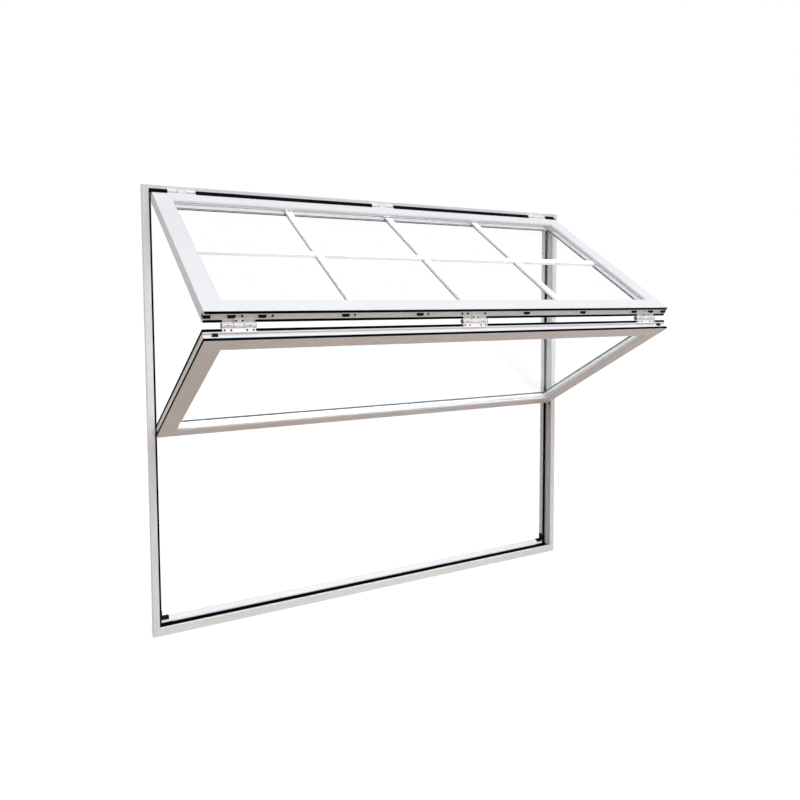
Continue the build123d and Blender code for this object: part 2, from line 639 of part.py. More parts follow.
save(hinge_pins(upper_pose, FOLD_AXIS, FOLD_KNUCKLE_DIAMETER), "fold_hinge_pins")
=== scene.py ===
"""Looks of the bifold window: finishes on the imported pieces, glazing bars, gaskets, screws and plugs.

Lengths are in metres. Every added piece of a sash is laid out in the closed window, where the sash
stands upright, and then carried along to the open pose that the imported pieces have.
"""

import json
import logging
from dataclasses import dataclass, replace
from enum import Enum
from math import acos, atan2, hypot, pi, radians

import bmesh
import bpy
from mathutils import Matrix, Vector

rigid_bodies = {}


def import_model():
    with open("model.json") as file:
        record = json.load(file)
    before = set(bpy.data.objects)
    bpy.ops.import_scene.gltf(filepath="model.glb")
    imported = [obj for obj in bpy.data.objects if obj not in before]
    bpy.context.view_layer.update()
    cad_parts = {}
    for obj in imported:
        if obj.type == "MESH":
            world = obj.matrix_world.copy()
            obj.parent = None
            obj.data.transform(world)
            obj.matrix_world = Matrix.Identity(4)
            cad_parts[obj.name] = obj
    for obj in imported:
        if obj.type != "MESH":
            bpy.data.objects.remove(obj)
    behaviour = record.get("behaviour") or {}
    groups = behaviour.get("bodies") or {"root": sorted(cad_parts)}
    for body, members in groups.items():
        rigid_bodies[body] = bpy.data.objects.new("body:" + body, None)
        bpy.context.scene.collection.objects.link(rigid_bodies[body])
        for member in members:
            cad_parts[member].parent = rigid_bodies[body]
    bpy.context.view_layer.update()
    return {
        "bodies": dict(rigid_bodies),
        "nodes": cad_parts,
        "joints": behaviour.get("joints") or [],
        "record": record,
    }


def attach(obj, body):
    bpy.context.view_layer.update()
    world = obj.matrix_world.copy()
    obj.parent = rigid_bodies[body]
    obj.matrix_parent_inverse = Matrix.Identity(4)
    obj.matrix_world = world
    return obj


LOG = logging.getLogger("bifold_window")
BODY = "root"
NOISE_RANGE = (0.3, 0.7)
TONE_STOPS = (0.35, 0.65)
FINISH_IOR = 1.5
EDGE_SEGMENTS = 2
Color = tuple[float, float, float]


class Slot(Enum):
    """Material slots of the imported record."""

    WHITE_COAT = "white_coat"
    WHITE_HINGE = "white_hinge"
    STEEL_PINS = "steel_pins"
    BLACK_RUBBER = "black_rubber"
    BLACK_PLASTIC = "black_plastic"
    CLEAR_GLASS = "clear_glass"
    GLASS_SPACER = "glass_spacer"


class SashName(Enum):
    """The two sashes, by where they are in the closed window."""

    UPPER = "upper"
    LOWER = "lower"


@dataclass(frozen=True)
class WindowSizes:
    """Sizes of the closed window that the added pieces are laid out from."""

    frame_height: float = 1.800
    frame_front: float = -0.035
    jamb_face: float = 1.025
    head_lip: float = 0.013
    sill_lip: float = 0.033
    sash_half_width: float = 1.017
    sash_front: float = -0.041
    sash_back: float = 0.001
    sash_face: float = 0.070
    sash_height: float = 0.864
    upper_bottom: float = 0.908
    lower_bottom: float = 0.038
    groove_centre: float = -0.020
    groove_depth: float = 0.006
    groove_width: float = 0.014
    glass_front: float = -0.027
    glass_back: float = -0.003
    pane: float = 0.005
    spacer_inset: float = 0.068
    hinge_offset: float = 0.902

    def bottom(self, sash: SashName) -> float:
        """Height of a closed sash's lower edge."""
        return self.upper_bottom if sash is SashName.UPPER else self.lower_bottom

    def top(self, sash: SashName) -> float:
        """Height of a closed sash's upper edge."""
        return self.bottom(sash) + self.sash_height

    def middle(self, sash: SashName) -> float:
        """Height of a closed sash's middle."""
        return self.bottom(sash) + self.sash_height / 2


@dataclass(frozen=True)
class Linkage:
    """Poses of the two sashes: the fold swings about the top hinges, the pivots stay in their tracks."""

    opening: float = radians(57.8)
    top_axis: Vector = Vector((0.0, -0.043, 1.7795))
    fold_axis: Vector = Vector((0.0, 0.0105, 0.905))
    pivot_axis: Vector = Vector((0.0, -0.020, 0.051))

    def upper_pose(self) -> Matrix:
        """Turn of the upper sash about the top hinges."""
        turn = Matrix.Rotation(-self.opening, 4, "X")
        return Matrix.Translation(self.top_axis) @ turn @ Matrix.Translation(-self.top_axis)

    def lower_pose(self) -> Matrix:
        """Place of the lower sash, carried by the fold with its pivots kept in the tracks.

        Returns:
            The matrix from the closed window to the open one.
        """
        open_fold = self.upper_pose() @ self.fold_axis
        arm = self.pivot_axis - self.fold_axis
        slope = atan2(arm.z, arm.y)
        fold_back = -slope - acos((self.pivot_axis.y - open_fold.y) / hypot(arm.y, arm.z))
        turn = Matrix.Rotation(fold_back, 4, "X")
        return Matrix.Translation(open_fold) @ turn @ Matrix.Translation(-self.fold_axis)

    def pose(self, sash: SashName) -> Matrix:
        """Matrix of one sash from the closed window to the open one."""
        return self.upper_pose() if sash is SashName.UPPER else self.lower_pose()


@dataclass(frozen=True)
class Grain:
    """One noise of a finish: its repeats per metre and its octaves."""

    scale: float
    detail: float


class NodeSketch:
    """A material's node tree with its principled shader, and short calls that add to it."""

    def __init__(self, name: str) -> None:
        """Start a material with one principled shader.

        Args:
            name: Name of the new material.
        """
        self.material = bpy.data.materials.new(name)
        self.material.use_nodes = True
        self.tree = self.material.node_tree
        self.shader = self.tree.nodes["Principled BSDF"]
        self.output = self.tree.nodes["Material Output"]
        self.place = self.tree.nodes.new("ShaderNodeTexCoord").outputs["Object"]

    def set(self, **values: object) -> None:
        """Set constant sockets of the shader.

        Args:
            values: Socket values, by socket name with underscores for spaces.
        """
        for name, value in values.items():
            self.shader.inputs[name.replace("_", " ")].default_value = value

    def link(self, source: bpy.types.NodeSocket, target: bpy.types.NodeSocket) -> None:
        """Join two sockets."""
        self.tree.links.new(source, target)

    def stretched(self, scale: Color) -> bpy.types.NodeSocket:
        """Object coordinates scaled unevenly.

        Args:
            scale: Factors along the three axes.

        Returns:
            The mapped vector.
        """
        mapping = self.tree.nodes.new("ShaderNodeMapping")
        mapping.inputs["Scale"].default_value = scale
        self.link(self.place, mapping.inputs["Vector"])
        return mapping.outputs["Vector"]

    def noise(self, grain: Grain, vector: bpy.types.NodeSocket | None = None) -> bpy.types.NodeSocket:
        """Noise over the piece.

        Args:
            grain: The noise's scale and detail.
            vector: Coordinates other than plain object ones.

        Returns:
            The noise factor.
        """
        texture = self.tree.nodes.new("ShaderNodeTexNoise")
        texture.inputs["Scale"].default_value = grain.scale
        texture.inputs["Detail"].default_value = grain.detail
        self.link(vector or self.place, texture.inputs["Vector"])
        return texture.outputs["Fac"]

    def spread(self, factor: bpy.types.NodeSocket, low: float, high: float) -> bpy.types.NodeSocket:
        """Map noise to a range of values.

        Args:
            factor: Noise to map.
            low: Value at the noise's low end.
            high: Value at the noise's high end.

        Returns:
            The mapped value.
        """
        node = self.tree.nodes.new("ShaderNodeMapRange")
        node.inputs["From Min"].default_value = NOISE_RANGE[0]
        node.inputs["From Max"].default_value = NOISE_RANGE[1]
        node.inputs["To Min"].default_value = low
        node.inputs["To Max"].default_value = high
        self.link(factor, node.inputs["Value"])
        return node.outputs["Result"]

    def tones(self, factor: bpy.types.NodeSocket, low: Color, high: Color) -> None:
        """Give the shader a colour between two tones.

        Args:
            factor: Noise that picks the tone.
            low: Tone at the noise's low end.
            high: Tone at the noise's high end.
        """
        ramp = self.tree.nodes.new("ShaderNodeValToRGB")
        for element, stop, tone in zip(ramp.color_ramp.elements, TONE_STOPS, (low, high)):
            element.position = stop
            element.color = (*tone, 1.0)
        self.link(factor, ramp.inputs["Fac"])
        self.link(ramp.outputs["Color"], self.shader.inputs["Base Color"])

    def bump(self, factor: bpy.types.NodeSocket, strength: float, distance: float) -> None:
        """Raise the surface by a noise.

        Args:
            factor: Noise that gives the height.
            strength: Share of the height that is used.
            distance: Height of the relief in metres.
        """
        node = self.tree.nodes.new("ShaderNodeBump")
        node.inputs["Strength"].default_value = strength
        node.inputs["Distance"].default_value = distance
        self.link(factor, node.inputs["Height"])
        self.link(node.outputs["Normal"], self.shader.inputs["Normal"])


@dataclass(frozen=True)
class OpaqueFinish:
    """A coat, rubber or moulded plastic: two close tones, uneven gloss and a fine relief."""

    name: str
    low: Color
    high: Color
    roughness: tuple[float, float]
    specular: float
    tone_grain: Grain
    gloss_grain: Grain
    relief_grain: Grain
    relief_strength: float
    relief_height: float

    def material(self) -> bpy.types.Material:
        """Make the finish's material.

        Returns:
            The finished material.
        """
        sketch = NodeSketch(self.name)
        sketch.tones(sketch.noise(self.tone_grain), self.low, self.high)
        gloss = sketch.noise(self.gloss_grain)
        sketch.link(sketch.spread(gloss, *self.roughness), sketch.shader.inputs["Roughness"])
        sketch.bump(sketch.noise(self.relief_grain), self.relief_strength, self.relief_height)
        sketch.set(IOR=FINISH_IOR, Specular_IOR_Level=self.specular)
        return sketch.material


@dataclass(frozen=True)
class PlatedMetal:
    """Metal drawn along the window's width, with long fine scratches."""

    name: str
    low: Color
    high: Color
    roughness: tuple[float, float]
    metallic: float
    tone_grain: Grain = Grain(24.0, 4.0)
    scratch_grain: Grain = Grain(90.0, 6.0)
    scratch_stretch: Color = (1.0, 22.0, 22.0)
    scratch_strength: float = 0.12
    scratch_height: float = 0.00006

    def material(self) -> bpy.types.Material:
        """Make the metal's material.

        Returns:
            The finished material.
        """
        sketch = NodeSketch(self.name)
        drawn = sketch.noise(self.scratch_grain, sketch.stretched(self.scratch_stretch))
        sketch.tones(sketch.noise(self.tone_grain), self.low, self.high)
        sketch.link(sketch.spread(drawn, *self.roughness), sketch.shader.inputs["Roughness"])
        sketch.bump(drawn, self.scratch_strength, self.scratch_height)
        sketch.set(Metallic=self.metallic, IOR=FINISH_IOR)
        return sketch.material


@dataclass(frozen=True)
class FloatGlass:
    """Clear float glass with a faint roller wave, which lets lamplight through."""

    name: str
    color: Color
    shadow: Color
    ior: float = 1.05
    roughness: tuple[float, float] = (0.0, 0.012)
    haze_grain: Grain = Grain(5.0, 4.0)
    wave_grain: Grain = Grain(6.0, 1.0)
    wave_stretch: Color = (0.4, 1.0, 1.0)
    wave_strength: float = 0.05
    wave_height: float = 0.0004

    def material(self) -> bpy.types.Material:
        """Make the glass.

        Returns:
            The finished material.
        """
        sketch = NodeSketch(self.name)
        sketch.set(Base_Color=(*self.color, 1.0), Transmission_Weight=1.0, IOR=self.ior)
        haze = sketch.noise(self.haze_grain)
        sketch.link(sketch.spread(haze, *self.roughness), sketch.shader.inputs["Roughness"])
        wave = sketch.noise(self.wave_grain, sketch.stretched(self.wave_stretch))
        sketch.bump(wave, self.wave_strength, self.wave_height)
        nodes = sketch.tree.nodes
        path = nodes.new("ShaderNodeLightPath")
        clear = nodes.new("ShaderNodeBsdfTransparent")
        clear.inputs["Color"].default_value = (*self.shadow, 1.0)
        mix = nodes.new("ShaderNodeMixShader")
        sketch.link(path.outputs["Is Shadow Ray"], mix.inputs["Fac"])
        sketch.link(sketch.shader.outputs["BSDF"], mix.inputs[1])
        sketch.link(clear.outputs["BSDF"], mix.inputs[2])
        sketch.link(mix.outputs["Shader"], sketch.output.inputs["Surface"])
        return sketch.material


class Finishes:
    """The materials of the window, one for each slot of the record."""

    def __init__(self) -> None:
        """Make every material once."""
        coat = OpaqueFinish(
            name="satin_white_coat",
            low=(0.80, 0.80, 0.815),
            high=(0.84, 0.84, 0.85),
            roughness=(0.40, 0.52),
            specular=0.3,
            tone_grain=Grain(2.6, 3.0),
            gloss_grain=Grain(38.0, 4.0),
            relief_grain=Grain(620.0, 2.0),
            relief_strength=0.10,
            relief_height=0.00015,
        )
        recipes = {
            Slot.WHITE_COAT: coat,
            # The hinge paint is a whiter, glossier copy of the coat; its raised tones partly stand for the
            # light the hinges catch (painted light).
            Slot.WHITE_HINGE: replace(
                coat,
                name="white_hinge_paint_and_painted_light",
                low=(0.90, 0.90, 0.90),
                high=(0.94, 0.94, 0.94),
                roughness=(0.18, 0.28),
                relief_grain=Grain(900.0, 2.0),
                relief_strength=0.07,
            ),
            # The zinc is darkened so the pin heads show the shaded end of each hinge as a dark line: partly
            # painted shade. The grille's painted bevel shade takes the same tone.
            Slot.STEEL_PINS: PlatedMetal(
                name="dark_zinc_and_painted_shade",
                low=(0.10, 0.10, 0.105),
                high=(0.15, 0.15, 0.155),
                roughness=(0.30, 0.46),
                metallic=1.0,
            ),
            Slot.BLACK_RUBBER: OpaqueFinish(
                name="black_seal_rubber",
                low=(0.0015, 0.0015, 0.002),
                high=(0.004, 0.004, 0.0045),
                roughness=(0.55, 0.78),
                specular=0.01,
                tone_grain=Grain(55.0, 5.0),
                gloss_grain=Grain(140.0, 3.0),
                relief_grain=Grain(1900.0, 2.0),
                relief_strength=0.25,
                relief_height=0.0001,
            ),
            Slot.BLACK_PLASTIC: OpaqueFinish(
                name="black_moulded_plastic",
                low=(0.002, 0.002, 0.0025),
                high=(0.006, 0.006, 0.0065),
                roughness=(0.38, 0.56),
                specular=0.05,
                tone_grain=Grain(30.0, 4.0),
                gloss_grain=Grain(260.0, 3.0),
                relief_grain=Grain(1400.0, 3.0),
                relief_strength=0.35,
                relief_height=0.00008,
            ),
            Slot.CLEAR_GLASS: FloatGlass(
                name="clear_float_glass", color=(0.996, 1.0, 0.998), shadow=(0.97, 0.98, 0.975)
            ),
            Slot.GLASS_SPACER: PlatedMetal(
                name="satin_spacer",
                low=(0.80, 0.81, 0.82),
                high=(0.86, 0.87, 0.88),
                roughness=(0.32, 0.48),
                metallic=0.9,
            ),
        }
        self.materials = {slot: recipe.material() for slot, recipe in recipes.items()}

    def dress_nodes(self, frame: dict) -> None:
        """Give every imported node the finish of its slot.
        """
        for part in frame["record"]["subparts"]:
            piece = frame["nodes"][part["node"]]
            piece.data.materials.clear()
            piece.data.materials.append(self.materials[Slot(part["material_slot"])])
            LOG.info("dressed %s as %s", part["node"], part["material_slot"])

    def add_piece(self, name: str, mesh: bmesh.types.BMesh, slot: Slot, pose: Matrix) -> None:
        """Turn a finished bmesh into a piece that rides on the window.

        Args:
            name: Name of the piece.
            mesh: Shape in the closed window; it is freed here.
            slot: Slot whose finish the piece takes.
            pose: Matrix from the closed window to the piece's place.
        """
        bmesh.ops.recalc_face_normals(mesh, faces=mesh.faces)
        bmesh.ops.transform(mesh, matrix=pose, verts=mesh.verts)
        data = bpy.data.meshes.new(name)
        mesh.to_mesh(data)
        mesh.free()
        data.materials.append(self.materials[slot])
        piece = bpy.data.objects.new(name, data)
        bpy.context.scene.collection.objects.link(piece)
        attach(piece, BODY)
        LOG.info("built %s, %d faces", name, len(data.polygons))


def add_block(mesh: bmesh.types.BMesh, corner: Vector, opposite: Vector, rounding: float) -> None:
    """Add a block with rounded edges.

    Args:
        mesh: Where the block goes.
        corner: One of its corners.
        opposite: The corner across from that one.
        rounding: Radius of its edges.
    """
    size = Vector([abs(part) for part in opposite - corner])
    verts = bmesh.ops.create_cube(mesh, size=1.0)["verts"]
    bmesh.ops.scale(mesh, vec=size, verts=verts)
    bmesh.ops.translate(mesh, vec=(corner + opposite) / 2, verts=verts)
    edges = list({edge for vert in verts for edge in vert.link_edges})
    bmesh.ops.bevel(
        mesh, geom=edges, offset=rounding, segments=EDGE_SEGMENTS, profile=0.5, affect="EDGES", material=-1
    )


def extrude(
    mesh: bmesh.types.BMesh, faces: list[bmesh.types.BMFace], run: Vector
) -> list[bmesh.types.BMFace]:
    """Extrude faces along a vector and keep the faces they start from.

    Args:
        mesh: Where the faces are.
        faces: Faces to extrude.
        run: Vector to where they end.

    Returns:
        The faces at the end.
    """
    grown = bmesh.ops.extrude_face_region(mesh, geom=faces, use_keep_orig=True)["geom"]
    moved = [part for part in grown if isinstance(part, bmesh.types.BMVert)]
    bmesh.ops.translate(mesh, vec=run, verts=moved)
    return [part for part in grown if isinstance(part, bmesh.types.BMFace)]


def add_ring(mesh: bmesh.types.BMesh, half: Vector, width: float, front: float, back: float) -> None:
    """Add a rectangular ring with mitred corners, lying in the plane of a closed sash.

    Args:
        mesh: Where the ring goes.
        half: Half of its outer width and height, as x and z, about the height in y.
        width: Width of the ring inwards.
        front: Depth at which it starts.
        back: Depth at which it ends.
    """
    corners = ((-1, -1), (1, -1), (1, 1), (-1, 1))
    verts = [mesh.verts.new((u * half.x, front, half.y + v * half.z)) for u, v in corners]
    centre = mesh.faces.new(verts)
    centre.normal_update()
    rim = bmesh.ops.inset_region(
        mesh, faces=[centre], thickness=width, use_boundary=True, use_even_offset=True
    )["faces"]
    bmesh.ops.delete(mesh, geom=[centre], context="FACES")
    extrude(mesh, rim, Vector((0.0, back - front, 0.0)))


def add_bar(mesh: bmesh.types.BMesh, section: list[Vector], run: Vector) -> None:
    """Add a straight bar of one section.

    Args:
        mesh: Where the bar goes.
        section: Corners of its end face.
        run: Vector from that end to the other.
    """
    face = mesh.faces.new([mesh.verts.new(corner) for corner in section])
    extrude(mesh, [face], run)


@dataclass
class GlazingBars:
    """The upper sash's glazing bars: a white grille between the panes, with a dark strip of painted shade
    along the outer bevels of its uprights and a black strip of tape at their foot that is also painted
    contact shadow on the inner pane.
    """

    sizes: WindowSizes
    pose: Matrix
    upright_places: tuple[float, ...] = (-0.474, 0.0, 0.474)
    width: float = 0.028
    shoulder: float = 0.0010
    clearance: float = 0.0003
    # The black strip at the bars' foot is tape and painted contact shadow; the dark strip on their outer
    # bevels is painted shade.
    shadow_tape_rise: float = 0.0034
    shadow_tape_overhang: float = 0.0006
    bevel_shade_start: float = 0.0010
    bevel_shade_rise: float = 0.0020
    side_overhang: float = 0.0002
    bevel_shade_overhang: float = 0.0003
    hair: float = 0.0001

    def section(self, width: float, base: float, top: float, shoulder: float) -> list[tuple[float, float]]:
        """Section of a bar as (across, depth) corners, bevelled on its outer side.

        Args:
            width: Width of the bar.
            base: Depth of its base.
            top: Depth of its outer face.
            shoulder: Size of the bevels.

        Returns:
            The corners in order.
        """
        half = width / 2
        return [
            (-half, base),
            (half, base),
            (half, top + shoulder),
            (half - shoulder, top),
            (shoulder - half, top),
            (-half, top + shoulder),
        ]

    def uprights(
        self,
        mesh: bmesh.types.BMesh,
        corners: list[tuple[float, float]],
        spans: list[tuple[float, float]],
    ) -> None:
        """Add the uprights of one section.

        Args:
            mesh: Where the bars go.
            corners: Section as (across, depth) corners.
            spans: Lowest and highest point of each length of an upright.
        """
        for place in self.upright_places:
            for low, high in spans:
                foot = [Vector((place + across, depth, low)) for across, depth in corners]
                add_bar(mesh, foot, Vector((0.0, 0.0, high - low)))

    def cross_bars(self, mesh: bmesh.types.BMesh, corners: list[tuple[float, float]], end: float) -> None:
        """Add the cross bars between the uprights.

        Args:
            mesh: Where the bars go.
            corners: Section as (across, depth) corners.
            end: Distance from the window's middle to the outer bars' ends.
        """
        half = self.width / 2
        starts = [-end] + [place + half for place in self.upright_places]
        ends = [place - half for place in self.upright_places] + [end]
        middle = self.sizes.middle(SashName.UPPER)
        for start, stop in zip(starts, ends):
            foot = [Vector((start, depth, middle - across)) for across, depth in corners]
            add_bar(mesh, foot, Vector((stop - start, 0.0, 0.0)))

    def build(self, finishes: Finishes) -> None:
        """Build the grille, its strips of painted bevel shade and the black strip of tape and painted
        contact shadow under it.

        Args:
            finishes: The window's materials.
        """
        front = self.sizes.glass_front + self.sizes.pane + self.clearance
        back = self.sizes.glass_back - self.sizes.pane - self.clearance
        inset = self.sizes.spacer_inset
        low = self.sizes.bottom(SashName.UPPER) + inset
        high = self.sizes.top(SashName.UPPER) - inset
        middle = self.sizes.middle(SashName.UPPER)
        half = self.width / 2
        section = self.section(self.width, back, front, self.shoulder)
        grille = bmesh.new()
        self.uprights(grille, section, [(low, high)])
        self.cross_bars(grille, section, self.sizes.sash_half_width - inset)
        finishes.add_piece("glazing_grille", grille, Slot.WHITE_COAT, self.pose)
        bevel_shade = front + self.bevel_shade_start
        bevel_shade_base = bevel_shade + self.bevel_shade_rise
        shadow_tape = back - self.shadow_tape_rise
        between = [(low, middle - half), (middle + half, high)]
        # Painted shade: the dark zinc strip stands for the shade on the uprights' outer bevels, and the
        # black strip at their foot is tape that also paints the contact shadow on the inner pane.
        trims = (
            ("grille_painted_bevel_shade", Slot.STEEL_PINS, self.bevel_shade_overhang, bevel_shade_base, bevel_shade),
            ("grille_tape_and_painted_shadow", Slot.BLACK_RUBBER, self.shadow_tape_overhang, back, shadow_tape),
            ("grille_sides", Slot.GLASS_SPACER, self.side_overhang, shadow_tape, bevel_shade_base),
        )
        for name, slot, overhang, base, top in trims:
            mesh = bmesh.new()
            self.uprights(mesh, self.section(self.width + 2 * overhang, base, top, self.hair), between)
            finishes.add_piece(name, mesh, slot, self.pose)


@dataclass
class GlazingGaskets:
    """The gasket lines round a sash's glass: a fine bead outside and a black wedge on the room side."""

    sizes: WindowSizes
    sash: SashName
    pose: Matrix
    outer_width: float = 0.0020
    outer_rise: float = 0.0022
    inner_width: float = 0.0020
    inner_rise: float = 0.0030
    lap: float = 0.0002

    def half(self, inset: float) -> Vector:
        """Half sizes of a ring this far inside the sash's edge, about the sash's middle."""
        return Vector(
            (
                self.sizes.sash_half_width - inset,
                self.sizes.middle(self.sash),
                self.sizes.sash_height / 2 - inset,
            )
        )

    def build(self, finishes: Finishes) -> None:
        """Build both gasket rings.

        Args:
            finishes: The window's materials.
        """
        start = self.half(self.sizes.sash_face - self.lap)
        front = self.sizes.glass_front
        back = self.sizes.glass_back
        outer = bmesh.new()
        add_ring(outer, start, self.outer_width, front - self.outer_rise, front)
        finishes.add_piece(f"{self.sash.value}_outer_glazing_line", outer, Slot.GLASS_SPACER, self.pose)
        inner = bmesh.new()
        add_ring(inner, start, self.inner_width, back, back + self.inner_rise)
        finishes.add_piece(f"{self.sash.value}_room_glazing_gasket", inner, Slot.BLACK_RUBBER, self.pose)


@dataclass
class JointLines:
    """Hairlines of sealant in the mitres of a sash and the butt joints of the frame."""

    sizes: WindowSizes
    width: float = 0.0004
    proud: float = 0.00006
    sunk: float = 0.0004
    corner_gap: float = 0.001
    glass_gap: float = 0.005
    room_reach: float = 0.054
    end_gap: float = 0.0005

    def line(
        self, mesh: bmesh.types.BMesh, start: Vector, end: Vector, depth: float, outward: float
    ) -> None:
        """Add one hairline on a face that looks out of the window or into the room.

        Args:
            mesh: Where the line goes.
            start: One end, as x and z.
            end: The other end, as x and z.
            depth: Depth of the face.
            outward: -1 for a face that looks out, 1 for one that looks into the room.
        """
        along = end - start
        side = Vector((-along.y, along.x)).normalized() * self.width / 2
        raised = depth + outward * self.proud
        buried = depth - outward * self.sunk
        corners = [
            Vector((start.x + side.x, buried, start.y + side.y)),
            Vector((start.x + side.x, raised, start.y + side.y)),
            Vector((start.x - side.x, raised, start.y - side.y)),
            Vector((start.x - side.x, buried, start.y - side.y)),
        ]
        add_bar(mesh, corners, Vector((along.x, 0.0, along.y)))

    def sash(self, sash: SashName, pose: Matrix, finishes: Finishes) -> None:
        """Build the mitre lines of one sash, inside and outside.

        Args:
            sash: Which sash.
            pose: Its pose.
            finishes: The window's materials.
        """
        mesh = bmesh.new()
        reach = self.sizes.sash_face - self.glass_gap
        for side in (-1, 1):
            for edge, inward in ((self.sizes.bottom(sash), 1), (self.sizes.top(sash), -1)):
                corner = Vector((side * self.sizes.sash_half_width, edge))
                diagonal = Vector((-side, inward))
                foot = corner + diagonal * self.corner_gap
                self.line(mesh, foot, corner + diagonal * reach, self.sizes.sash_front, -1)
                self.line(mesh, foot, corner + diagonal * self.room_reach, self.sizes.sash_back, 1)
        finishes.add_piece(f"{sash.value}_mitre_lines", mesh, Slot.GLASS_SPACER, pose)

    def frame(self, finishes: Finishes) -> None:
        """Build the lines where the head and the sill meet the jambs, on the outside.

        Args:
            finishes: The window's materials.
        """
        mesh = bmesh.new()
        head = self.sizes.frame_height
        spans = (
            (self.end_gap, self.sizes.sill_lip),
            (head - self.sizes.head_lip, head - self.end_gap),
        )
        for side in (-1, 1):
            for low, high in spans:
                start = Vector((side * self.sizes.jamb_face, low))
                end = Vector((side * self.sizes.jamb_face, high))
                self.line(mesh, start, end, self.sizes.frame_front, -1)
        finishes.add_piece("frame_joint_lines", mesh, Slot.GLASS_SPACER, Matrix.Identity(4))


@dataclass
class HeadFlap:
    """The rubber flap under the head, which laps over the upper sash's top edge between the hinges."""

    sizes: WindowSizes
    linkage: Linkage
    hinge_half: float = 0.056
    end_gap: float = 0.002
    thickness: float = 0.0016
    seat: float = 0.004
    bend: float = 0.006
    lap: float = 0.009

    def section(self) -> list[tuple[float, float]]:
        """Section of the flap as (depth, height) corners, from the head down over the sash and back.

        Returns:
            The corners in order.
        """
        lip = self.sizes.frame_height - self.sizes.head_lip
        pose = self.linkage.upper_pose()
        corner = Vector((0.0, self.sizes.sash_front, self.sizes.top(SashName.UPPER)))
        tip = Vector((0.0, self.sizes.sash_front, self.sizes.top(SashName.UPPER) - self.lap))
        outward = Vector((0.0, -self.thickness, 0.0))
        placed = [pose @ point for point in (corner, tip, tip + outward, corner + outward)]
        lapped = [(point.y, point.z) for point in placed]
        front = self.sizes.frame_front
        heel = front + self.bend
        return [(heel, lip - self.seat), *lapped, (front, lip), (heel, lip)]

    def build(self, finishes: Finishes) -> None:
        """Build the lengths of the flap between the hinges.

        Args:
            finishes: The window's materials.
        """
        end = self.sizes.jamb_face - self.end_gap
        offset = self.sizes.hinge_offset
        stops = [
            place + side * self.hinge_half for place in (-offset, 0.0, offset) for side in (-1, 1)
        ]
        places = [-end, *stops, end]
        mesh = bmesh.new()
        for start, stop in zip(places[::2], places[1::2]):
            section = [Vector((start, depth, height)) for depth, height in self.section()]
            add_bar(mesh, section, Vector((stop - start, 0.0, 0.0)))
        finishes.add_piece("head_flap", mesh, Slot.BLACK_RUBBER, Matrix.Identity(4))


@dataclass
class SillTrim:
    """The raised lip of the sill's seal, and a black cleat in each corner of the sill's upstand."""

    sizes: WindowSizes
    seal_top: float = 0.031
    seal_back: float = 0.0055
    seal_lip_width: float = 0.008
    seal_lip_rise: float = 0.0055
    end_gap: float = 0.001
    stop_line: float = 1.010
    slope_foot: tuple[float, float] = (0.010, 0.038)
    slope_top: tuple[float, float] = (0.022, 0.054)
    cleat_start: float = 0.42
    cleat_back: float = 0.033
    cleat_length: float = 0.032
    cleat_thickness: float = 0.0035
    cleat_height: float = 0.032
    rounding: float = 0.0012

    def foot_section(self) -> list[tuple[float, float]]:
        """Section of a cleat's foot as (depth, height) corners: up the slope and over the flat top.

        Returns:
            The corners in order.
        """
        foot = Vector(self.slope_foot)
        top = Vector(self.slope_top)
        slope = (top - foot).normalized()
        outward = Vector((-slope.y, slope.x)) * self.cleat_thickness
        start = foot.lerp(top, self.cleat_start)
        bend = self.cleat_thickness * (1.0 - slope.x) / slope.y
        over = top.y + self.cleat_thickness
        return [
            tuple(start),
            tuple(start + outward),
            (top.x - bend, over),
            (self.cleat_back, over),
            (self.cleat_back, top.y),
            tuple(top),
        ]

    def build(self, finishes: Finishes) -> None:
        """Build the seal's lip and the two cleats.

        Args:
            finishes: The window's materials.
        """
        lip = bmesh.new()
        end = self.sizes.jamb_face - self.end_gap
        add_block(
            lip,
            Vector((-end, self.seal_back - self.seal_lip_width, self.seal_top)),
            Vector((end, self.seal_back, self.seal_top + self.seal_lip_rise)),
            self.rounding,
        )
        finishes.add_piece("sill_seal_lip", lip, Slot.BLACK_RUBBER, Matrix.Identity(4))
        cleats = bmesh.new()
        for side in (-1, 1):
            root = side * self.stop_line
            foot = [Vector((root, depth, height)) for depth, height in self.foot_section()]
            add_bar(cleats, foot, Vector((-side * self.cleat_length, 0.0, 0.0)))
            tip = root - side * self.cleat_thickness
            add_block(
                cleats,
                Vector((root, self.slope_foot[0], self.slope_top[1])),
                Vector((tip, self.cleat_back, self.slope_top[1] + self.cleat_height)),
                self.rounding / 2,
            )
        finishes.add_piece("sill_corner_cleats", cleats, Slot.BLACK_PLASTIC, Matrix.Identity(4))


